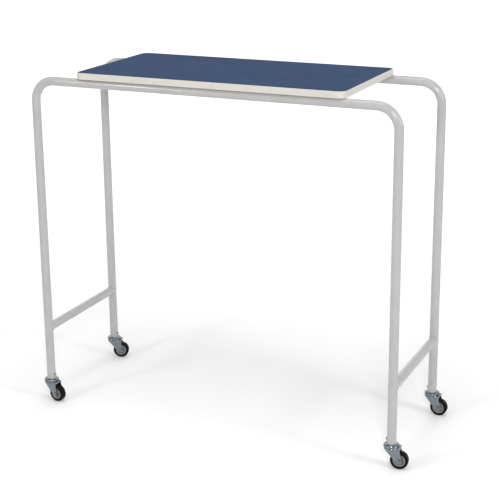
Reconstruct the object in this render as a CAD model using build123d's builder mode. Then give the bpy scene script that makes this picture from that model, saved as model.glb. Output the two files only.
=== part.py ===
"""Overbed table: a laminated top on two bent tube hoops, joined by crossbars, on four swivel castors.

Millimetres, +Z up, +X along the tabletop, -Y towards the user. The origin is on the floor, under
the middle of the whole object's box with every castor trailing as it stands at rest.
"""

from build123d import *
import os
from math import cos, radians, sin, sqrt

os.makedirs("parts", exist_ok=True)

# Frame: one inch steel tube, both hoops bent from one length each
tube_diameter = 25.4
tube_wall = 1.5
tube_radius = tube_diameter / 2
leg_spacing = 1080.0
hoop_spacing = 370.0
bend_radius = 60.0
castor_height = 70.0
rail_height = 982.0
crossbar_height = 232.0

# Tabletop: particle board between two laminates, with a plastic lipping let into its edge
top_length = 800.0
top_depth = 400.0
top_thickness = 18.0
top_corner = 22.0
laminate_thickness = 0.8
backing_thickness = 0.6
lipping_thickness = 2.5
lipping_proud = 0.2
tongue_thickness = 2.2
tongue_depth = 8.0

# Castors: 50 mm wheel, stem in the leg, double ball race
wheel_radius = 25.0
wheel_width = 19.0
trail = 22.0
fork_width = 27.0
fork_sheet = 2.0
stem_clearance = 0.05
running_clearance = 0.08
race_radius = 22.0
castor_turns = {"front_left": -8.0, "front_right": 8.0, "rear_left": 20.0, "rear_right": -1.0}

# How far every cut runs past the face that it comes out of
overrun = 1.0

# The wheels all trail towards +X, so the frame stands this far off the middle of the whole box
frame_x = -(trail + wheel_radius - race_radius) / 2


def leg_position(castor):
    """The leg axis on the floor for a castor named front_left, rear_right and so on."""
    row, side = castor.split("_")
    x = frame_x + (leg_spacing / 2 if side == "right" else -leg_spacing / 2)
    y = -hoop_spacing / 2 if row == "front" else hoop_spacing / 2
    return x, y


def finish(builder, name):
    """Label one finished piece and write its file."""
    builder.part.label = name
    export_step(builder.part, f"parts/{name}.step")


# ---------------------------------------------------------------- hoops and crossbars

retaining_screw_height = castor_height + 12
retaining_screw_radius = 2.5
screw_radius = 2.25
screw_head_radius = 4.6
access_hole_radius = 5.5
screw_spacing = 300.0
screw_xs = [frame_x - screw_spacing, frame_x, frame_x + screw_spacing]

for row, hoop_y in (("front", -hoop_spacing / 2), ("rear", hoop_spacing / 2)):
    left_x = frame_x - leg_spacing / 2
    right_x = frame_x + leg_spacing / 2
    with BuildPart() as hoop:
        with BuildLine(Plane.XZ.offset(-hoop_y)) as centre_line:
            FilletPolyline(
                (left_x, castor_height),
                (left_x, rail_height),
                (right_x, rail_height),
                (right_x, castor_height),
                radius=bend_radius,
            )
        with BuildSketch(Plane(centre_line.line @ 0, z_dir=centre_line.line % 0)):
            Circle(tube_radius)
            Circle(tube_radius - tube_wall, mode=Mode.SUBTRACT)
        sweep()
        # screw holes in the rail's upper wall, and wider ones below that let each screw's head in
        for hole_radius, reach in ((screw_radius, tube_radius), (access_hole_radius, -tube_radius)):
            with BuildSketch(Plane.XY.offset(rail_height)):
                with Locations(*[(x, hoop_y) for x in screw_xs]):
                    Circle(hole_radius)
            extrude(amount=reach, mode=Mode.SUBTRACT)
        # retaining screw holes, in the side of each leg that faces the other leg
        for leg_x, inward in ((left_x, 1), (right_x, -1)):
            with BuildSketch(Plane((leg_x, hoop_y, retaining_screw_height), z_dir=(inward, 0, 0))):
                Circle(retaining_screw_radius)
            extrude(amount=tube_diameter, mode=Mode.SUBTRACT)
    finish(hoop, f"{row}_hoop")

for side, bar_x in (("left", frame_x - leg_spacing / 2), ("right", frame_x + leg_spacing / 2)):
    with BuildPart() as crossbar:
        with BuildSketch(Plane((bar_x, 0, crossbar_height), z_dir=(0, 1, 0))):
            Circle(tube_radius)
            Circle(tube_radius - tube_wall, mode=Mode.SUBTRACT)
        extrude(amount=hoop_spacing / 2, both=True)
        # coped ends, cut to the round of the legs
        with BuildSketch(Plane.XY.offset(crossbar_height - tube_diameter)):
            with Locations((bar_x, -hoop_spacing / 2), (bar_x, hoop_spacing / 2)):
                Circle(tube_radius)
        extrude(amount=2 * tube_diameter, mode=Mode.SUBTRACT)
    finish(crossbar, f"{side}_crossbar")


# ---------------------------------------------------------------- tabletop

top_underside = rail_height + tube_radius
core_bottom = top_underside + backing_thickness
core_top = top_underside + top_thickness - laminate_thickness
groove_bottom = top_underside + (top_thickness - tongue_thickness) / 2
board_length = top_length - 2 * lipping_thickness
board_depth = top_depth - 2 * lipping_thickness
board_corner = top_corner - lipping_thickness
screw_bite = 13.0
lipping_rounding = 1.2
lipping_joint = 0.3


def board_outline(inset=0.0, mode=Mode.ADD):
    """The laminated board's plan, drawn in from its edge by the inset."""
    with Locations((frame_x, 0)):
        RectangleRounded(board_length - 2 * inset, board_depth - 2 * inset, board_corner - inset, mode=mode)


def screw_places():
    """Where the screws come up through both rails."""
    return [(x, y) for x in screw_xs for y in (-hoop_spacing / 2, hoop_spacing / 2)]


with BuildPart() as core:
    with BuildSketch(Plane.XY.offset(core_bottom)):
        board_outline()
    extrude(amount=core_top - core_bottom)
    # groove for the lipping's tongue, all the way round the edge
    with BuildSketch(Plane.XY.offset(groove_bottom)):
        board_outline(-overrun)
        board_outline(tongue_depth, mode=Mode.SUBTRACT)
    extrude(amount=tongue_thickness, mode=Mode.SUBTRACT)
    with BuildSketch(Plane.XY.offset(core_bottom)):
        with Locations(*screw_places()):
            Circle(screw_radius)
    extrude(amount=screw_bite - backing_thickness, mode=Mode.SUBTRACT)
finish(core, "tabletop_core")

with BuildPart() as laminate:
    with BuildSketch(Plane.XY.offset(core_top)):
        board_outline()
    extrude(amount=laminate_thickness)
finish(laminate, "tabletop_laminate")

with BuildPart() as backing:
    with BuildSketch(Plane.XY.offset(top_underside)):
        board_outline()
        with Locations(*screw_places()):
            Circle(screw_radius, mode=Mode.SUBTRACT)
    extrude(amount=backing_thickness)
finish(backing, "backing_laminate")

with BuildPart() as lipping:
    with BuildSketch(Plane.XY.offset(top_underside)):
        with Locations((frame_x, 0)):
            RectangleRounded(top_length, top_depth, top_corner)
        board_outline(mode=Mode.SUBTRACT)
    extrude(amount=top_thickness + lipping_proud)
    top_rim = lipping.faces().sort_by(Axis.Z)[-1].outer_wire().edges()
    bottom_rim = lipping.faces().sort_by(Axis.Z)[0].outer_wire().edges()
    fillet(top_rim + bottom_rim, radius=lipping_rounding)
    with BuildSketch(Plane.XY.offset(groove_bottom)):
        board_outline()
        board_outline(tongue_depth, mode=Mode.SUBTRACT)
    extrude(amount=tongue_thickness)
    # butt joint between the two ends of the strip, at the middle of the rear edge
    with BuildSketch(Plane.XY.offset(top_underside - overrun)):
        with Locations((frame_x, top_depth / 2)):
            Rectangle(lipping_joint, 2 * (lipping_thickness + tongue_depth + overrun))
    extrude(amount=top_thickness + 3 * overrun, mode=Mode.SUBTRACT)
finish(lipping, "edge_lipping")

screw_head_height = 3.0
screw_head_rounding = 1.6
recess_depth = 1.7
recess_length = 4.6
recess_width = 1.0
bore_radius = tube_radius - tube_wall
head_seat = rail_height + sqrt(bore_radius**2 - screw_head_radius**2) - running_clearance
screw_tip = top_underside + screw_bite

with BuildPart() as screws:
    with BuildSketch(Plane.XY.offset(head_seat)):
        with Locations(*screw_places()):
            Circle(screw_radius)
    extrude(amount=screw_tip - head_seat)
    with BuildSketch(Plane.XY.offset(head_seat - screw_head_height)):
        with Locations(*screw_places()):
            Circle(screw_head_radius)
    extrude(amount=screw_head_height)
    fillet(screws.faces().group_by(Axis.Z)[0].edges(), radius=screw_head_rounding)
    # cross recess for the driver
    with BuildSketch(Plane.XY.offset(head_seat - screw_head_height - overrun)):
        with Locations(*screw_places()):
            Rectangle(recess_length, recess_width)
            Rectangle(recess_width, recess_length)
    extrude(amount=recess_depth + overrun, mode=Mode.SUBTRACT)
finish(screws, "tabletop_screws")


# ---------------------------------------------------------------- castors

# heights in the swivel head, from the tube's end down
stem_radius = tube_radius - tube_wall - stem_clearance
stem_length = 48.0
neck_radius = 5.0
cap_underside = castor_height - 2.4
upper_ball_radius = 2.5
upper_ball_pitch = 13.0
upper_ball_height = 65.5
upper_ball_count = 14
plate_top = 63.4
plate_bottom = 61.0
lower_ball_radius = 2.0
lower_ball_pitch = 7.8
lower_ball_height = 59.3
lower_ball_count = 11
lower_race_top = 57.6
lower_race_bottom = 55.4
lower_race_radius = 11.0
rivet_radius = 7.5
rivet_bottom = 52.9
groove_clearance = 0.03

axle_radius = 3.0
sleeve_radius = 4.5
fork_inside = fork_width / 2 - fork_sheet
cheek_radius = 8.5
tyre_inner_radius = 17.0


def make_stem(side, upright, castor, inward):
    """Turned stem: a plug in the leg, a neck through both races and a peened head below them."""
    x, y = leg_position(castor)
    lead_in = 1.5
    peen_rounding = 1.8
    hole_past_axis = 2.0
    with BuildPart() as stem:
        with BuildSketch(side):
            with BuildLine():
                Polyline(
                    (0, castor_height + stem_length),
                    (stem_radius - lead_in, castor_height + stem_length),
                    (stem_radius, castor_height + stem_length - lead_in),
                    (stem_radius, castor_height),
                    (neck_radius, castor_height),
                    (neck_radius, lower_race_bottom),
                    (rivet_radius, lower_race_bottom),
                    (rivet_radius, rivet_bottom),
                    (0, rivet_bottom),
                    close=True,
                )
            make_face()
        revolve(axis=upright)
        fillet(stem.faces().sort_by(Axis.Z)[0].edges(), radius=peen_rounding)
        # tapped cross hole for the retaining screw, from its side to just past the axis
        hole_end = (x - hole_past_axis * inward, y, retaining_screw_height)
        with BuildSketch(Plane(hole_end, z_dir=(inward, 0, 0))):
            Circle(retaining_screw_radius)
        extrude(amount=hole_past_axis + stem_radius + overrun, mode=Mode.SUBTRACT)
    finish(stem, f"{castor}_stem")


def make_race_cap(side, upright, castor):
    """Pressed cap against the tube's end: the upper ball track, with a rim that keeps dust out."""
    shoulder = 5.0
    rim_thickness = 2.0
    rim_bottom = plate_top + 0.4
    inner_bevel = 1.6
    rim_inside = race_radius - rim_thickness
    with BuildPart() as cap:
        with BuildSketch(side):
            with BuildLine():
                shoulder_top = (race_radius - shoulder, castor_height)
                shoulder_foot = (race_radius, castor_height - shoulder)
                Line((neck_radius, castor_height), shoulder_top)
                RadiusArc(shoulder_top, shoulder_foot, shoulder)
                Polyline(
                    shoulder_foot,
                    (race_radius, rim_bottom),
                    (rim_inside, rim_bottom),
                    (rim_inside, cap_underside - inner_bevel),
                    (rim_inside - inner_bevel, cap_underside),
                    (neck_radius, cap_underside),
                    (neck_radius, castor_height),
                )
            make_face()
        revolve(axis=upright)
        with BuildSketch(side):
            with Locations((upper_ball_pitch, upper_ball_height)):
                Circle(upper_ball_radius + groove_clearance)
        revolve(axis=upright, mode=Mode.SUBTRACT)
    finish(cap, f"{castor}_race_cap")


def make_lower_race(side, upright, castor):
    """Dished washer on the neck, which carries the fork on the lower balls."""
    rim_bevel = 0.8
    with BuildPart() as race:
        with BuildSketch(side):
            with BuildLine():
                Polyline(
                    (neck_radius, lower_race_top),
                    (lower_race_radius, lower_race_top),
                    (lower_race_radius, lower_race_bottom + rim_bevel),
                    (lower_race_radius - rim_bevel, lower_race_bottom),
                    (neck_radius, lower_race_bottom),
                    close=True,
                )
            make_face()
        revolve(axis=upright)
        with BuildSketch(side):
            with Locations((lower_ball_pitch, lower_ball_height)):
                Circle(lower_ball_radius + groove_clearance)
        revolve(axis=upright, mode=Mode.SUBTRACT)
    finish(race, f"{castor}_lower_race")


def make_balls(base, castor):
    """Loose hardened balls of both races, which roll round with the fork."""
    with BuildPart() as balls:
        with Locations(base.offset(upper_ball_height)):
            with PolarLocations(upper_ball_pitch, upper_ball_count):
                Sphere(upper_ball_radius)
        with Locations(base.offset(lower_ball_height)):
            with PolarLocations(lower_ball_pitch, lower_ball_count):
                Sphere(lower_ball_radius)
    finish(balls, f"{castor}_swivel_balls")


def make_fork(base, side, upright, axle, castor):
    """Pressed steel fork: a top plate over the wheel, folded down into two cheeks to the axle."""
    plate_front = -18.0
    plate_rear = 27.0
    front_edge = 5.0
    rear_edge = 3.2
    corner_drop = 9.0
    corner_radius = 4.0
    waist = 3.0
    fold_radius = 4.0
    cheek_lean = radians(38)
    seat_radius = race_radius - 1.2
    seat_depth = 4.6
    seat_shoulder = 5.0
    apron_top = plate_top - front_edge - 0.6
    apron_drop = 7.0
    apron_slant = 6.5
    with BuildPart() as fork:
        with BuildSketch(side):
            with BuildLine():
                # seen from the side, from the rear of the plate forwards and round the axle
                foot = (trail - cheek_radius * cos(cheek_lean), wheel_radius - cheek_radius * sin(cheek_lean))
                sole = (trail, wheel_radius - cheek_radius)
                heel = (trail + cheek_radius, wheel_radius)
                Polyline(
                    (plate_rear, plate_top),
                    (plate_front, plate_top),
                    (plate_front, plate_top - front_edge),
                    foot,
                )
                RadiusArc(foot, sole, -cheek_radius)
                RadiusArc(sole, heel, -cheek_radius)
                Polyline(
                    heel,
                    (plate_rear - waist, plate_top - corner_drop),
                    (plate_rear, plate_top - rear_edge),
                    (plate_rear, plate_top),
                )
            make_face()
        extrude(amount=fork_width / 2, both=True)
        # folds between the plate and the cheeks
        fold_edges = fork.faces().sort_by(Axis.Z)[-1].edges().filter_by(Axis(base.origin, base.x_dir))
        fillet(fold_edges, radius=fold_radius)
        # four corners rounded off in plan
        with BuildSketch(base.offset(plate_top - corner_drop)):
            with Locations(((plate_front + plate_rear) / 2, 0)):
                Rectangle(plate_rear - plate_front + 2 * overrun, fork_width + 2 * overrun)
                RectangleRounded(plate_rear - plate_front, fork_width, corner_radius, mode=Mode.SUBTRACT)
        extrude(amount=corner_drop + overrun, mode=Mode.SUBTRACT)
        # round seat for the ball races, nearly as wide as the cap above it
        with BuildSketch(side):
            with BuildLine():
                seat_edge = (seat_radius - seat_shoulder, plate_top)
                seat_side = (seat_radius, plate_top - seat_shoulder)
                RadiusArc(seat_edge, seat_side, seat_shoulder)
                Polyline(
                    seat_side,
                    (seat_radius, plate_bottom - seat_depth),
                    (0, plate_bottom - seat_depth),
                    (0, plate_top),
                    seat_edge,
                )
            make_face()
        revolve(axis=upright)
        # the space for the wheel, open behind and below, closed in front by a short apron
        with BuildSketch(side):
            with BuildLine():
                Polyline(
                    (plate_rear + cheek_radius, plate_bottom),
                    (plate_front + fork_sheet, plate_bottom),
                    (plate_front + fork_sheet, apron_top),
                    (plate_front + fork_sheet + apron_slant, apron_top - apron_drop),
                    (plate_front - overrun, apron_top - apron_drop),
                    (plate_front - overrun, 0),
                    (plate_rear + cheek_radius, 0),
                    close=True,
                )
            make_face()
        extrude(amount=fork_inside, both=True, mode=Mode.SUBTRACT)
        with BuildSketch(base.offset(plate_bottom - seat_depth)):
            Circle(neck_radius + running_clearance)
        extrude(amount=plate_top - plate_bottom + seat_depth + overrun, mode=Mode.SUBTRACT)
        with BuildSketch(side):
            with Locations((upper_ball_pitch, upper_ball_height)):
                Circle(upper_ball_radius + groove_clearance)
            with Locations((lower_ball_pitch, lower_ball_height)):
                Circle(lower_ball_radius + groove_clearance)
        revolve(axis=upright, mode=Mode.SUBTRACT)
        with BuildSketch(axle):
            Circle(axle_radius)
        extrude(amount=fork_width, both=True, mode=Mode.SUBTRACT)
    finish(fork, f"{castor}_fork")


def make_axle(axle, castor):
    """Hexagon bolt through both cheeks, its nut, and the sleeve clamped between them."""
    hexagon_flats = 10.0
    bolt_head_height = 3.6
    nut_height = 5.6
    thread_beyond_nut = 1.9
    corner_bevel = 0.5
    with BuildPart() as bolt:
        with BuildSketch(axle.offset(-fork_width / 2 - nut_height - thread_beyond_nut)):
            Circle(axle_radius)
        extrude(amount=fork_width + nut_height + thread_beyond_nut)
        with BuildSketch(axle.offset(fork_width / 2)):
            RegularPolygon(radius=hexagon_flats / 2, side_count=6, major_radius=False)
        extrude(amount=bolt_head_height)
        chamfer(bolt.faces().sort_by(Axis(axle.origin, axle.z_dir))[-1].edges(), length=corner_bevel)
    finish(bolt, f"{castor}_axle_bolt")

    with BuildPart() as nut:
        with BuildSketch(axle.offset(-fork_width / 2 - nut_height)):
            RegularPolygon(radius=hexagon_flats / 2, side_count=6, major_radius=False)
        extrude(amount=nut_height)
        chamfer(nut.faces().sort_by(Axis(axle.origin, axle.z_dir))[0].edges(), length=corner_bevel)
        with BuildSketch(axle.offset(-fork_width / 2 - nut_height - overrun)):
            Circle(axle_radius)
        extrude(amount=nut_height + 2 * overrun, mode=Mode.SUBTRACT)
    finish(nut, f"{castor}_axle_nut")

    with BuildPart() as sleeve:
        with BuildSketch(axle.offset(-fork_inside)):
            Circle(sleeve_radius)
            Circle(axle_radius, mode=Mode.SUBTRACT)
        extrude(amount=2 * fork_inside)
    finish(sleeve, f"{castor}_axle_sleeve")


def make_wheel(across, axle_line, castor):
    """Moulded centre that turns on the sleeve, and the rubber tyre moulded round its rim."""
    side_play = 0.5
    hub_half = fork_inside - side_play
    hub_end_radius = 7.6
    hub_slope = (5.5, 8.4)
    web_half = 3.0
    web_inner_radius = 9.4
    web_outer_radius = 11.4
    rim_half = wheel_width / 2 - 1.2
    rim_lip = (rim_half - 1.5, 12.6)
    rim_edge_radius = 13.4
    half_profile = [
        (hub_half, sleeve_radius + running_clearance),
        (hub_half, hub_end_radius),
        hub_slope,
        (web_half, web_inner_radius),
        (web_half, web_outer_radius),
        rim_lip,
        (rim_half, rim_edge_radius),
        (rim_half, tyre_inner_radius),
    ]
    with BuildPart() as centre:
        with BuildSketch(across):
            with BuildLine():
                Polyline(*[(-width, radius) for width, radius in half_profile], *half_profile[::-1], close=True)
            make_face()
        revolve(axis=axle_line)
    finish(centre, f"{castor}_wheel_centre")

    half = wheel_width / 2
    bead = 1.2
    shoulder = 3.4
    crown = 0.25
    shoulder_arc_radius = 3.6
    with BuildPart() as tyre:
        with BuildSketch(across):
            with BuildLine():
                near_shoulder = (half, wheel_radius - shoulder)
                far_shoulder = (-half, wheel_radius - shoulder)
                near_tread = (half - shoulder, wheel_radius - crown)
                far_tread = (-half + shoulder, wheel_radius - crown)
                Polyline(
                    far_shoulder,
                    (-half, tyre_inner_radius + bead),
                    (-rim_half, tyre_inner_radius),
                    (rim_half, tyre_inner_radius),
                    (half, tyre_inner_radius + bead),
                    near_shoulder,
                )
                RadiusArc(near_shoulder, near_tread, -shoulder_arc_radius)
                ThreePointArc(near_tread, (0, wheel_radius), far_tread)
                RadiusArc(far_tread, far_shoulder, -shoulder_arc_radius)
            make_face()
        revolve(axis=axle_line)
    finish(tyre, f"{castor}_tyre")


for castor, turn in castor_turns.items():
    x, y = leg_position(castor)
    inward = 1 if castor.endswith("left") else -1
    # flat plane of the castor with its X along the trail, upright plane down the trail,
    # plane square to the axle, and plane along the axle
    base = Plane((x, y, 0), x_dir=(cos(radians(turn)), sin(radians(turn)), 0), z_dir=(0, 0, 1))
    side = Plane(base.origin, x_dir=base.x_dir, z_dir=-base.y_dir)
    upright = Axis((x, y, 0), (0, 0, 1))
    axle_centre = base.from_local_coords(Vector(trail, 0, wheel_radius))
    axle = Plane(axle_centre, x_dir=base.x_dir, z_dir=-base.y_dir)
    across = Plane(axle_centre, x_dir=base.y_dir, z_dir=base.x_dir)
    axle_line = Axis(axle_centre, base.y_dir)

    make_stem(side, upright, castor, inward)
    make_race_cap(side, upright, castor)
    make_lower_race(side, upright, castor)
    make_balls(base, castor)
    make_fork(base, side, upright, axle, castor)
    make_axle(axle, castor)
    make_wheel(across, axle_line, castor)


# one round headed screw per leg, through the tube's wall into the stem
retaining_head_radius = 4.2
retaining_head_height = 2.4
retaining_head_rounding = 1.6
socket_depth = 1.2
socket_flats = 3.0

with BuildPart() as retaining_screws:
    for castor in castor_turns:
        x, y = leg_position(castor)
        inward = 1 if castor.endswith("left") else -1
        outwards = Axis((x, y, retaining_screw_height), (inward, 0, 0))
        face = Plane(outwards.position + outwards.direction * tube_radius, z_dir=outwards.direction)
        with BuildSketch(face.offset(-tube_radius)):
            Circle(retaining_screw_radius)
        extrude(amount=tube_radius)
        with BuildSketch(face):
            Circle(retaining_head_radius)
        head = extrude(amount=retaining_head_height)
        fillet(head.faces().sort_by(outwards)[-1].edges(), radius=retaining_head_rounding)
        # hexagon socket
        with BuildSketch(face.offset(retaining_head_height - socket_depth)):
            RegularPolygon(radius=socket_flats / 2, side_count=6, major_radius=False)
        extrude(amount=socket_depth + overrun, mode=Mode.SUBTRACT)
finish(retaining_screws, "castor_retaining_screws")
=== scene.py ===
import math

import bmesh
import bpy
from mathutils import Matrix, Vector


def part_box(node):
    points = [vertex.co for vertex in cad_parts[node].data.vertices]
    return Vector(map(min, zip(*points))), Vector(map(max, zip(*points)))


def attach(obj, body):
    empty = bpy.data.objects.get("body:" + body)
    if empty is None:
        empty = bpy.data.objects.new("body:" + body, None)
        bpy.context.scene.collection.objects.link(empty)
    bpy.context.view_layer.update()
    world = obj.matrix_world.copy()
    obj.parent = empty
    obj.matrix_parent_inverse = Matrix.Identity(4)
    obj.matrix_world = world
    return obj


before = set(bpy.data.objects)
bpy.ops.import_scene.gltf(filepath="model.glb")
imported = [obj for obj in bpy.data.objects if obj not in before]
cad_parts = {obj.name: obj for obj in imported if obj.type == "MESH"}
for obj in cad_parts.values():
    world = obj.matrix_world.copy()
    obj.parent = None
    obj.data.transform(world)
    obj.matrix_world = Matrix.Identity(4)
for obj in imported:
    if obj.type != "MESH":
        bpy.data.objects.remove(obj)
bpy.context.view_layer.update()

# ---------------------------------------------------------------- studio
# A round cove of matt white paper, its pale floor turning up into a pale wall on every side. One
# soft box hangs overhead and another lights the wall, with smaller ones at the front left, at
# the right and beside the camera.


def linear(hex_code):
    """Linear RGBA of an sRGB hex colour."""
    channels = [int(hex_code[i:i + 2], 16) / 255 for i in (1, 3, 5)]
    return (*[c / 12.92 if c <= 0.04045 else ((c + 0.055) / 1.055) ** 2.4 for c in channels], 1.0)


def add_node(material, kind, inputs, **settings):
    """Adds a node with its settings, and gives each input a value or another node's result."""
    node = material.node_tree.nodes.new(kind)
    for name, value in settings.items():
        setattr(node, name, value)
    for name, value in inputs.items():
        if isinstance(name, int):
            socket = node.inputs[name]
        else:
            socket = next(s for s in node.inputs if s.enabled and s.name == name)
        if isinstance(value, bpy.types.Node):
            value = next(s for s in value.outputs if s.enabled)
        if isinstance(value, bpy.types.NodeSocket):
            material.node_tree.links.new(value, socket)
        else:
            socket.default_value = value
    return node


def new_material(name):
    """An empty material that is ready for nodes."""
    material = bpy.data.materials.new(name)
    material.use_nodes = True
    material.node_tree.nodes.clear()
    return material


def finished(material, surface):
    """Ends a material with its surface shader, made from the settings given, and returns it."""
    shader = add_node(material, "ShaderNodeBsdfPrincipled", surface)
    add_node(material, "ShaderNodeOutputMaterial", {"Surface": shader})
    return material


def new_object(name, mesh, material):
    """Puts a mesh into the scene under a name, smooth shaded and in its material."""
    for polygon in mesh.polygons:
        polygon.use_smooth = True
    mesh.materials.append(material)
    made = bpy.data.objects.new(name, mesh)
    bpy.context.scene.collection.objects.link(made)
    return made


def background_paper():
    """Matt background paper: bright white fibre with no gloss and a faint tooth."""
    material = new_material("background_paper")
    tooth = add_node(material, "ShaderNodeTexNoise", {"Scale": 40.0, "Detail": 3.0})
    bump = add_node(material, "ShaderNodeBump", {"Height": tooth, "Strength": 0.02})
    return finished(material, {
        "Base Color": linear("#FAFAFA"), "Roughness": 0.95, "Specular IOR Level": 0.1,
        "Normal": bump,
    })


floor_radius = 6.0
cove_radius = 3.0
wall_height = 8.0
cove_steps = 16
sides = 96
centre_radius = 0.5  # the floor inside this is one flat face
profile = [(centre_radius, 0.0)]
for step in range(cove_steps + 1):
    turn = math.pi / 2 * step / cove_steps
    profile.append((
        floor_radius + cove_radius * math.sin(turn),
        cove_radius - cove_radius * math.cos(turn),
    ))
profile.append((floor_radius + cove_radius, wall_height))
vertices = [
    (reach * math.cos(2 * math.pi * side / sides), reach * math.sin(2 * math.pi * side / sides), z)
    for reach, z in profile for side in range(sides)
]
faces = [tuple(range(sides))]
for ring in range(len(profile) - 1):
    for side in range(sides):
        following = (side + 1) % sides
        faces.append((
            ring * sides + side, (ring + 1) * sides + side,
            (ring + 1) * sides + following, ring * sides + following,
        ))
cove_mesh = bpy.data.meshes.new("studio_cove")
cove_mesh.from_pydata(vertices, [], faces)
new_object("studio_cove", cove_mesh, background_paper())


def soft_box(name, place, aim, size, power, colour):
    """A square area light turned to face the point that it is aimed at."""
    light = bpy.data.lights.new(name, "AREA")
    light.size = size
    light.energy = power
    light.color = linear(colour)[:3]
    lamp = bpy.data.objects.new(name, light)
    lamp.location = place
    lamp.visible_camera = False
    lamp.rotation_mode = "QUATERNION"
    lamp.rotation_quaternion = (Vector(aim) - Vector(place)).to_track_quat("-Z", "Y")
    bpy.context.scene.collection.objects.link(lamp)


table = (0.0, 0.0, 0.6)
soft_box("overhead_box", (0.0, -0.6, 3.3), table, 1.1, 20.0, "#FFFFFF")
soft_box("front_left_box", (-2.2, -3.4, 2.2), table, 0.5, 24.0, "#FFFBF4")
soft_box("camera_box", (1.9, -3.7, 2.3), table, 0.5, 54.0, "#FFFFFF")
soft_box("right_box", (3.2, -0.6, 1.9), table, 0.6, 26.0, "#F3F7FF")
soft_box("wall_box", (-1.0, 3.6, 5.0), (-3.0, 7.6, 1.2), 2.5, 220.0, "#FFFFFF")

# the air of the room: bright above, and darker low down towards the unlit ends of the studio
air = bpy.data.worlds.new("studio_air")
air.use_nodes = True
air.node_tree.nodes.clear()
direction = add_node(air, "ShaderNodeTexCoord", {}).outputs["Generated"]
upwards = add_node(air, "ShaderNodeSeparateXYZ", {"Vector": direction}).outputs["Z"]
brightness = add_node(air, "ShaderNodeMapRange", {
    "Value": upwards, "From Min": 0.0, "From Max": 0.6, "To Min": 0.22, "To Max": 0.60,
})
glow = add_node(air, "ShaderNodeBackground", {"Color": linear("#FFFFFF"), "Strength": brightness})
add_node(air, "ShaderNodeOutputWorld", {"Surface": glow})
bpy.context.scene.world = air
bpy.context.scene.view_settings.view_transform = "Standard"

# ---------------------------------------------------------------- camera
# A short telephoto lens a little above the tabletop, round to the right of the table's front,
# held a fraction of a degree off level.

azimuth = math.radians(25.80)
elevation = math.radians(15.75)
lean = math.radians(-0.74)
backwards = Vector((
    math.sin(azimuth) * math.cos(elevation),
    -math.cos(azimuth) * math.cos(elevation),
    math.sin(elevation),
))
top_low, top_high = (Vector(corner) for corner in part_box("tabletop_laminate"))
top_centre = (top_low + top_high) / 2
lens = bpy.data.cameras.new("camera")
lens.lens = 89.76
lens.sensor_width = 36.0
lens.shift_x = 0.0366
lens.shift_y = -0.0826
camera = bpy.data.objects.new("camera", lens)
camera.location = (top_centre.x + 1.4838, top_centre.y - 3.1008, 1.5831)
camera.rotation_mode = "QUATERNION"
level = (-backwards).to_track_quat("-Z", "Y")
camera.rotation_quaternion = level @ Matrix.Rotation(lean, 4, "Z").to_quaternion()
bpy.context.scene.collection.objects.link(camera)
bpy.context.scene.camera = camera

# ---------------------------------------------------------------- hoops and crossbars
# Two hoops bent from one inch steel tube, and a crossbar of the same tube between the legs at
# each end, sprayed with polyester powder and baked into one continuous skin.


def powder_coated_steel():
    """Polyester powder melted on to steel: a hard light grey skin with a soft gloss.

    The eye gets a pale tube with one soft highlight, broken by the shallow waves called orange
    peel, with grey rubs low on the legs where beds, shoes and mops touch it.
    """
    material = new_material("powder_coated_steel")
    place = add_node(material, "ShaderNodeTexCoord", {}).outputs["Object"]
    height = add_node(material, "ShaderNodeSeparateXYZ", {"Vector": place}).outputs["Z"]
    peel_mm = 3.5  # the real waves are about 1.5 mm apart, drawn coarser so that they show
    peel = add_node(material, "ShaderNodeTexNoise", {
        "Vector": place, "Scale": 1000 / peel_mm, "Detail": 1.0,
    })
    cloud_mm = 70.0
    cloud = add_node(material, "ShaderNodeTexNoise", {
        "Vector": place, "Scale": 1000 / cloud_mm, "Detail": 3.0,
    })
    rub_mm = 9.0
    upright = add_node(material, "ShaderNodeMapping", {"Vector": place, "Scale": (1.0, 1.0, 0.3)})
    rub = add_node(material, "ShaderNodeTexNoise", {
        "Vector": upright, "Scale": 1000 / rub_mm, "Detail": 5.0, "Roughness": 0.65,
    })
    patches = add_node(material, "ShaderNodeMapRange", {
        "Value": rub, "From Min": 0.58, "From Max": 0.66, "To Min": 0.0, "To Max": 1.0,
    })
    low_down = add_node(material, "ShaderNodeMapRange", {
        "Value": height, "From Min": 0.10, "From Max": 0.36, "To Min": 0.5, "To Max": 0.05,
    })
    rubbed = add_node(material, "ShaderNodeMath", {0: patches, 1: low_down}, operation="MULTIPLY")
    clean = add_node(material, "ShaderNodeMix", {
        "Factor": cloud, "A": linear("#A9A8A7"), "B": linear("#B4B3B2"),
    }, data_type="RGBA")
    colour = add_node(material, "ShaderNodeMix", {
        "Factor": rubbed, "A": clean, "B": linear("#7C7B79"),
    }, data_type="RGBA")
    roughness = add_node(material, "ShaderNodeMapRange", {
        "Value": rubbed, "From Min": 0.0, "From Max": 0.5, "To Min": 0.16, "To Max": 0.5,
    })
    bump = add_node(material, "ShaderNodeBump", {
        "Height": peel, "Strength": 0.2, "Distance": 0.0003,
    })
    return finished(material, {
        "Base Color": colour, "Roughness": roughness, "IOR": 1.5, "Specular IOR Level": 0.5,
        "Normal": bump,
    })


def cover(nodes, material):
    """Gives carried-over pieces their real finish in place of the plain one."""
    for name in nodes:
        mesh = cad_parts[name].data
        mesh.materials.clear()
        mesh.materials.append(material)


coat = powder_coated_steel()
cover(("front_hoop", "rear_hoop", "left_crossbar", "right_crossbar"), coat)

# ---------------------------------------------------------------- weld beads
# Each crossbar end is coped to the round of its leg and welded all the way round before
# coating, which leaves a small rippled fillet of steel under the same skin.


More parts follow.
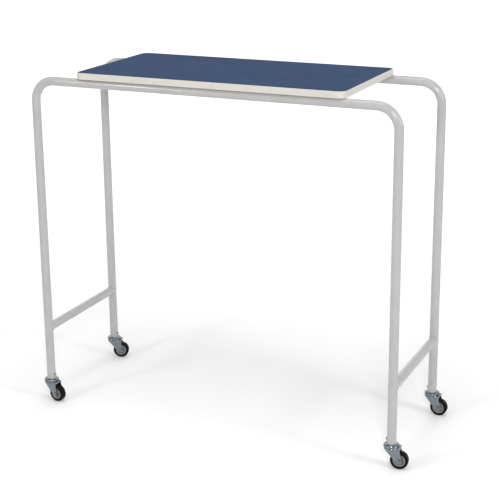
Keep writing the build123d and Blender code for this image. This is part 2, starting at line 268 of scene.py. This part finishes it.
def weld_bead(name, centre, towards_bar, tube_radius):
    """A rippled bead along the line where a bar meets a leg of its own size, square to it."""
    bead_radius = 0.0019
    ripple_swell = 0.13
    steps, sides, ripples = 160, 12, 34
    turn_softness = 0.0016  # rounds the two points where the line passes the leg's flanks
    line = []
    for step in range(steps):
        turn = 2 * math.pi * step / steps
        reach = math.hypot(tube_radius * math.sin(turn), turn_softness)
        line.append(centre + Vector((
            tube_radius * math.cos(turn), towards_bar * reach, tube_radius * math.sin(turn),
        )))
    shape = bmesh.new()
    rings = []
    for step, middle in enumerate(line):
        along = (line[(step + 1) % steps] - line[step - 1]).normalized()
        across = along.cross(middle - centre).normalized()
        outward = across.cross(along)
        radius = bead_radius * (1 + ripple_swell * abs(math.sin(math.pi * ripples * step / steps)))
        ring = []
        for side in range(sides):
            turn = 2 * math.pi * side / sides
            spoke = across * math.cos(turn) + outward * math.sin(turn)
            ring.append(shape.verts.new(middle + radius * spoke))
        rings.append(ring)
    for step in range(steps):
        here, there = rings[step], rings[(step + 1) % steps]
        for side in range(sides):
            following = (side + 1) % sides
            shape.faces.new((here[side], there[side], there[following], here[following]))
    bmesh.ops.recalc_face_normals(shape, faces=shape.faces)
    mesh = bpy.data.meshes.new(name)
    shape.to_mesh(mesh)
    shape.free()
    return new_object(name, mesh, coat)


for end in ("left", "right"):
    bar_low, bar_high = (Vector(corner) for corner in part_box(f"{end}_crossbar"))
    bar_centre = (bar_low + bar_high) / 2
    for row, towards_bar in (("front", 1), ("rear", -1)):
        leg_low, leg_high = (Vector(corner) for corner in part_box(f"{row}_hoop"))
        joint = Vector((bar_centre.x, (leg_low.y + leg_high.y) / 2, bar_centre.z))
        bead = weld_bead(f"{end}_{row}_weld", joint, towards_bar, (bar_high.z - bar_low.z) / 2)
        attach(bead, "root")

# ---------------------------------------------------------------- tabletop core
# The board is particle board, pressed from wood flakes and resin, with a groove milled round
# its edge. Only the groove and the screw holes ever show it.


def particle_board():
    """Pressed wood flakes: pale and mid brown chips, rough and without gloss."""
    material = new_material("particle_board")
    place = add_node(material, "ShaderNodeTexCoord", {}).outputs["Object"]
    flake_mm = 3.0
    flakes = add_node(material, "ShaderNodeTexVoronoi", {"Vector": place, "Scale": 1000 / flake_mm})
    shade = add_node(material, "ShaderNodeSeparateColor", {"Color": flakes.outputs["Color"]})
    colour = add_node(material, "ShaderNodeMix", {
        "Factor": shade, "A": linear("#A98A61"), "B": linear("#D2B78C"),
    }, data_type="RGBA")
    bump = add_node(material, "ShaderNodeBump", {
        "Height": shade, "Strength": 0.3, "Distance": 0.0003,
    })
    return finished(material, {"Base Color": colour, "Roughness": 0.85, "Normal": bump})


cover(("tabletop_core",), particle_board())

# ---------------------------------------------------------------- backing laminate
# A plain sheet of the same kind as the top's is glued below the board, to keep it flat. It is
# seen only from underneath.


def backing_paper_laminate():
    """Resin-filled backing paper: off-white, dead matt, faintly fibrous and blotched by glue."""
    material = new_material("backing_paper_laminate")
    place = add_node(material, "ShaderNodeTexCoord", {}).outputs["Object"]
    blotch_mm = 60.0
    blotch = add_node(material, "ShaderNodeTexNoise", {
        "Vector": place, "Scale": 1000 / blotch_mm, "Detail": 4.0,
    })
    fibre_mm = 1.5
    lengthways = add_node(material, "ShaderNodeMapping", {
        "Vector": place, "Scale": (0.3, 1.0, 1.0),
    })
    fibre = add_node(material, "ShaderNodeTexNoise", {
        "Vector": lengthways, "Scale": 1000 / fibre_mm, "Detail": 3.0,
    })
    colour = add_node(material, "ShaderNodeMix", {
        "Factor": blotch, "A": linear("#C9C5BA"), "B": linear("#D8D4CA"),
    }, data_type="RGBA")
    bump = add_node(material, "ShaderNodeBump", {
        "Height": fibre, "Strength": 0.2, "Distance": 0.0002,
    })
    return finished(material, {"Base Color": colour, "Roughness": 0.75, "Normal": bump})


cover(("backing_laminate",), backing_paper_laminate())

# ---------------------------------------------------------------- blue laminate
# Decorative high-pressure laminate on the board's upper face: blue melamine paper over brown
# core papers, pressed against a pebbled plate and trimmed flush. Its dark core edge is painted
# as a wider dark band on the top, which adds painted shade where the sheet meets the lipping.


def blue_melamine_laminate():
    """Pebbled blue melamine: a matt mid blue with a sheen at low angles.

    The eye gets an even blue, very slightly clouded, a grain too fine to pick out at arm's
    length, wipe marks along the top in the gloss, lightened by a painted sheen, and a dark
    band painted round the edge: the dark trimmed rim, widened into painted shade at the lipping.
    """
    material = new_material("blue_melamine_laminate")
    place = add_node(material, "ShaderNodeTexCoord", {}).outputs["Object"]
    axes = add_node(material, "ShaderNodeSeparateXYZ", {"Vector": place})
    pebble_mm = 1.6  # about 0.4 mm on the real sheet, drawn coarser so that it shows
    pebbles = add_node(material, "ShaderNodeTexNoise", {
        "Vector": place, "Scale": 1000 / pebble_mm, "Detail": 2.0,
    })
    cloud_mm = 140.0
    cloud = add_node(material, "ShaderNodeTexNoise", {
        "Vector": place, "Scale": 1000 / cloud_mm, "Detail": 3.0,
    })
    wipe_mm = 7.0
    lengthways = add_node(material, "ShaderNodeMapping", {
        "Vector": place, "Scale": (0.06, 1.0, 1.0),
    })
    wiped = add_node(material, "ShaderNodeTexNoise", {
        "Vector": lengthways, "Scale": 1000 / wipe_mm, "Detail": 3.0,
    })
    # distance out from a rectangle set one corner radius inside the sheet's edge: it equals the
    # corner radius all along the edge, so the painted dark band follows the rounded corners
    corner = 0.0195  # radius of the sheet's corners
    beyond = []
    for axis in (0, 1):
        offset = add_node(material, "ShaderNodeMath", {
            0: axes.outputs[axis], 1: top_centre[axis],
        }, operation="SUBTRACT")
        size = add_node(material, "ShaderNodeMath", {0: offset}, operation="ABSOLUTE")
        beyond.append(add_node(material, "ShaderNodeMath", {
            0: size, 1: top_high[axis] - top_centre[axis] - corner,
        }, operation="SUBTRACT"))
    squares = []
    for value in beyond:
        positive = add_node(material, "ShaderNodeMath", {0: value, 1: 0.0}, operation="MAXIMUM")
        squares.append(add_node(material, "ShaderNodeMath", {
            0: positive, 1: 2.0,
        }, operation="POWER"))
    square = add_node(material, "ShaderNodeMath", {0: squares[0], 1: squares[1]}, operation="ADD")
    curved = add_node(material, "ShaderNodeMath", {0: square}, operation="SQRT")
    nearest = add_node(material, "ShaderNodeMath", {
        0: beyond[0], 1: beyond[1],
    }, operation="MAXIMUM")
    straight = add_node(material, "ShaderNodeMath", {0: nearest, 1: 0.0}, operation="MINIMUM")
    reach = add_node(material, "ShaderNodeMath", {0: curved, 1: straight}, operation="ADD")
    # painted shade: a dark band along the sheet's edge, the dark core edge widened into the shade
    # where the sheet meets the proud lipping
    core_edge_and_shade_mm = 6.0
    core_edge_and_shade = add_node(material, "ShaderNodeMapRange", {
        "Value": reach, "From Min": corner - core_edge_and_shade_mm / 1000, "From Max": corner,
        "To Min": 0.0, "To Max": 0.75,
    })
    sheet = add_node(material, "ShaderNodeMix", {
        "Factor": cloud, "A": linear("#1E385A"), "B": linear("#2A456B"),
    }, data_type="RGBA")
    specks = add_node(material, "ShaderNodeMapRange", {
        "Value": pebbles, "From Min": 0.35, "From Max": 0.65, "To Min": 0.0, "To Max": 0.3,
    })
    grained = add_node(material, "ShaderNodeMix", {
        "Factor": specks, "A": sheet, "B": linear("#15294A"),
    }, data_type="RGBA")
    # painted sheen: along the wipe marks the blue is lightened towards a pale grey blue, standing
    # in for their gloss catching the light
    painted_wipe_sheen = add_node(material, "ShaderNodeMapRange", {
        "Value": wiped, "From Min": 0.5, "From Max": 0.7, "To Min": 0.0, "To Max": 0.12,
    })
    with_wipe_sheen = add_node(material, "ShaderNodeMix", {
        "Factor": painted_wipe_sheen, "A": grained, "B": linear("#7F90A8"),
    }, data_type="RGBA")
    # the edge band's near black: the dark core edge and painted shade
    colour = add_node(material, "ShaderNodeMix", {
        "Factor": core_edge_and_shade, "A": with_wipe_sheen, "B": linear("#10141B"),
    }, data_type="RGBA")
    roughness = add_node(material, "ShaderNodeMapRange", {
        "Value": wiped, "From Min": 0.35, "From Max": 0.65, "To Min": 0.52, "To Max": 0.66,
    })
    bump = add_node(material, "ShaderNodeBump", {
        "Height": pebbles, "Strength": 0.5, "Distance": 0.0002,
    })
    return finished(material, {
        "Base Color": colour, "Roughness": roughness, "IOR": 1.5, "Specular IOR Level": 0.03,
        "Normal": bump,
    })


cover(("tabletop_laminate",), blue_melamine_laminate())

# ---------------------------------------------------------------- edge lipping
# White vinyl, extruded with a tongue that is knocked into the board's groove all the way round,
# its two ends butted at the middle of the rear edge.


def extruded_vinyl():
    """Extruded white vinyl: satin, with the faint lengthways lines of its die.

    Handling and cleaning have left it a little creamy, and greyer in soft patches.
    """
    material = new_material("extruded_vinyl")
    place = add_node(material, "ShaderNodeTexCoord", {}).outputs["Object"]
    line_mm = 1.6
    flattened = add_node(material, "ShaderNodeMapping", {
        "Vector": place, "Scale": (0.02, 0.02, 1.0),
    })
    die_lines = add_node(material, "ShaderNodeTexNoise", {
        "Vector": flattened, "Scale": 1000 / line_mm, "Detail": 2.0,
    })
    grime_mm = 22.0
    grime = add_node(material, "ShaderNodeTexNoise", {
        "Vector": place, "Scale": 1000 / grime_mm, "Detail": 5.0,
    })
    patches = add_node(material, "ShaderNodeMapRange", {
        "Value": grime, "From Min": 0.4, "From Max": 0.7, "To Min": 0.0, "To Max": 1.0,
    })
    colour = add_node(material, "ShaderNodeMix", {
        "Factor": patches, "A": linear("#CDC9C1"), "B": linear("#C8C3BA"),
    }, data_type="RGBA")
    bump = add_node(material, "ShaderNodeBump", {
        "Height": die_lines, "Strength": 0.25, "Distance": 0.0002,
    })
    return finished(material, {
        "Base Color": colour, "Roughness": 0.42, "IOR": 1.53, "Normal": bump,
    })


cover(("edge_lipping",), extruded_vinyl())

# ---------------------------------------------------------------- tabletop screws
# Six cross-recessed pan head screws come up through both rails into the board: steel wire, cold
# headed, thread rolled and zinc plated.


def zinc_plated_wire():
    """Zinc plate over cold-headed wire: bright metal with a soft mottle and fine forging marks."""
    material = new_material("zinc_plated_wire")
    place = add_node(material, "ShaderNodeTexCoord", {}).outputs["Object"]
    mottle_mm = 2.0
    mottle = add_node(material, "ShaderNodeTexNoise", {
        "Vector": place, "Scale": 1000 / mottle_mm, "Detail": 4.0,
    })
    mark_mm = 0.8
    marks = add_node(material, "ShaderNodeTexNoise", {
        "Vector": place, "Scale": 1000 / mark_mm, "Detail": 3.0,
    })
    colour = add_node(material, "ShaderNodeMix", {
        "Factor": mottle, "A": linear("#6E7276"), "B": linear("#8D9296"),
    }, data_type="RGBA")
    roughness = add_node(material, "ShaderNodeMapRange", {
        "Value": marks, "From Min": 0.3, "From Max": 0.7, "To Min": 0.25, "To Max": 0.45,
    })
    bump = add_node(material, "ShaderNodeBump", {
        "Height": marks, "Strength": 0.2, "Distance": 0.0001,
    })
    return finished(material, {
        "Base Color": colour, "Metallic": 1.0, "Roughness": roughness, "Normal": bump,
    })


plated_wire = zinc_plated_wire()
cover(("tabletop_screws",), plated_wire)

# ---------------------------------------------------------------- castor stems and axle sleeves
# Turned from bright mild steel bar. The stem plugs the leg, and its lower end is peened over to
# hold the swivel head together. The sleeve is the wheel's plain bearing.

castors = ("front_left", "front_right", "rear_left", "rear_right")


def of_each_castor(*pieces):
    """The names of some pieces on all four castors."""
    return [f"{castor}_{piece}" for castor in castors for piece in pieces]


def turned_bar():
    """Bright turned steel: fine rings left by the tool under a film of oil."""
    material = new_material("turned_bar")
    place = add_node(material, "ShaderNodeTexCoord", {}).outputs["Object"]
    ring_mm = 0.5
    flattened = add_node(material, "ShaderNodeMapping", {
        "Vector": place, "Scale": (0.02, 0.02, 1.0),
    })
    rings = add_node(material, "ShaderNodeTexNoise", {"Vector": flattened, "Scale": 1000 / ring_mm})
    colour = add_node(material, "ShaderNodeMix", {
        "Factor": rings, "A": linear("#7F7F7D"), "B": linear("#9B9B99"),
    }, data_type="RGBA")
    bump = add_node(material, "ShaderNodeBump", {
        "Height": rings, "Strength": 0.2, "Distance": 0.0001,
    })
    return finished(material, {
        "Base Color": colour, "Metallic": 1.0, "Roughness": 0.3, "Normal": bump,
    })


cover(of_each_castor("stem", "axle_sleeve"), turned_bar())

# ---------------------------------------------------------------- race caps, lower races and forks
# Pressed from mild steel strip and barrel plated with bright zinc, then passivated clear. The
# cap sits against the tube's end, and the fork swivels between it and the lower race.


def bright_zinc_plate():
    """Bright zinc on pressed steel: a cold blue shine that the press tool and barrel have marked.

    The eye gets hard small highlights on the rounded shoulders, softly clouded flats, drag lines
    down the cheeks and duller grey spots where the plating has begun to bloom.
    """
    material = new_material("bright_zinc_plate")
    place = add_node(material, "ShaderNodeTexCoord", {}).outputs["Object"]
    cloud_mm = 9.0
    cloud = add_node(material, "ShaderNodeTexNoise", {
        "Vector": place, "Scale": 1000 / cloud_mm, "Detail": 4.0,
    })
    drag_mm = 1.4
    upright = add_node(material, "ShaderNodeMapping", {"Vector": place, "Scale": (1.0, 1.0, 0.12)})
    drag = add_node(material, "ShaderNodeTexNoise", {
        "Vector": upright, "Scale": 1000 / drag_mm, "Detail": 3.0,
    })
    bloom_mm = 3.0
    bloom = add_node(material, "ShaderNodeTexNoise", {
        "Vector": place, "Scale": 1000 / bloom_mm, "Detail": 6.0, "Roughness": 0.7,
    })
    spots = add_node(material, "ShaderNodeMapRange", {
        "Value": bloom, "From Min": 0.56, "From Max": 0.68, "To Min": 0.0, "To Max": 0.6,
    })
    bright = add_node(material, "ShaderNodeMix", {
        "Factor": cloud, "A": linear("#686F76"), "B": linear("#92999E"),
    }, data_type="RGBA")
    colour = add_node(material, "ShaderNodeMix", {
        "Factor": spots, "A": bright, "B": linear("#5A5E5F"),
    }, data_type="RGBA")
    roughness = add_node(material, "ShaderNodeMapRange", {
        "Value": spots, "From Min": 0.0, "From Max": 0.6, "To Min": 0.14, "To Max": 0.40,
    })
    bump = add_node(material, "ShaderNodeBump", {
        "Height": drag, "Strength": 0.25, "Distance": 0.0002,
    })
    return finished(material, {
        "Base Color": colour, "Metallic": 1.0, "Roughness": roughness, "Normal": bump,
    })


cover(of_each_castor("race_cap", "lower_race", "fork"), bright_zinc_plate())

# ---------------------------------------------------------------- swivel balls
# Two rings of through-hardened bearing balls in each head, packed in grease.


def greased_bearing_steel():
    """Polished hard steel: mirror bright where it is clean, softened and browned by grease."""
    material = new_material("greased_bearing_steel")
    place = add_node(material, "ShaderNodeTexCoord", {}).outputs["Object"]
    smear_mm = 3.0
    grease = add_node(material, "ShaderNodeTexNoise", {
        "Vector": place, "Scale": 1000 / smear_mm, "Detail": 3.0,
    })
    colour = add_node(material, "ShaderNodeMix", {
        "Factor": grease, "A": linear("#B4B4B6"), "B": linear("#7D7462"),
    }, data_type="RGBA")
    roughness = add_node(material, "ShaderNodeMapRange", {
        "Value": grease, "From Min": 0.4, "From Max": 0.6, "To Min": 0.08, "To Max": 0.35,
    })
    return finished(material, {"Base Color": colour, "Metallic": 1.0, "Roughness": roughness})


cover(of_each_castor("swivel_balls"), greased_bearing_steel())

# ---------------------------------------------------------------- axle bolts and nuts
# A hexagon bolt through both cheeks with a nut beyond, of the same plated wire as the screws.

cover(of_each_castor("axle_bolt", "axle_nut"), plated_wire)

# ---------------------------------------------------------------- wheel centres
# Grey nylon, moulded in one with its hub, web and rim.


def moulded_nylon():
    """Moulded grey nylon: satin, finely grained by the mould, with floor dust in its hollows."""
    material = new_material("moulded_nylon")
    place = add_node(material, "ShaderNodeTexCoord", {}).outputs["Object"]
    grain_mm = 0.8
    grain = add_node(material, "ShaderNodeTexNoise", {
        "Vector": place, "Scale": 1000 / grain_mm, "Detail": 3.0,
    })
    dust_mm = 7.0
    dust = add_node(material, "ShaderNodeTexNoise", {
        "Vector": place, "Scale": 1000 / dust_mm, "Detail": 5.0,
    })
    colour = add_node(material, "ShaderNodeMix", {
        "Factor": dust, "A": linear("#6C6D6F"), "B": linear("#8A8986"),
    }, data_type="RGBA")
    bump = add_node(material, "ShaderNodeBump", {
        "Height": grain, "Strength": 0.25, "Distance": 0.0001,
    })
    return finished(material, {"Base Color": colour, "Roughness": 0.5, "IOR": 1.53, "Normal": bump})


cover(of_each_castor("wheel_centre"), moulded_nylon())

# ---------------------------------------------------------------- tyres
# Black rubber, vulcanised on to the rim of the centre.


def vulcanised_rubber():
    """Black rubber: nearly black and matt, finely grained, with pale dust in patches."""
    material = new_material("vulcanised_rubber")
    place = add_node(material, "ShaderNodeTexCoord", {}).outputs["Object"]
    grain_mm = 1.0
    grain = add_node(material, "ShaderNodeTexNoise", {
        "Vector": place, "Scale": 1000 / grain_mm, "Detail": 3.0,
    })
    dust_mm = 6.0
    dust = add_node(material, "ShaderNodeTexNoise", {
        "Vector": place, "Scale": 1000 / dust_mm, "Detail": 6.0, "Roughness": 0.65,
    })
    patches = add_node(material, "ShaderNodeMapRange", {
        "Value": dust, "From Min": 0.5, "From Max": 0.75, "To Min": 0.0, "To Max": 0.4,
    })
    colour = add_node(material, "ShaderNodeMix", {
        "Factor": patches, "A": linear("#070708"), "B": linear("#2C2A27"),
    }, data_type="RGBA")
    roughness = add_node(material, "ShaderNodeMapRange", {
        "Value": patches, "From Min": 0.0, "From Max": 0.4, "To Min": 0.5, "To Max": 0.8,
    })
    bump = add_node(material, "ShaderNodeBump", {
        "Height": grain, "Strength": 0.3, "Distance": 0.0002,
    })
    return finished(material, {
        "Base Color": colour, "Roughness": roughness, "IOR": 1.52, "Specular IOR Level": 0.1,
        "Normal": bump,
    })


cover(of_each_castor("tyre"), vulcanised_rubber())

# ---------------------------------------------------------------- castor retaining screws
# A round headed socket screw through the inner side of each leg holds the castor's stem. It is
# plated wire too, and goes in last.

cover(("castor_retaining_screws",), plated_wire)
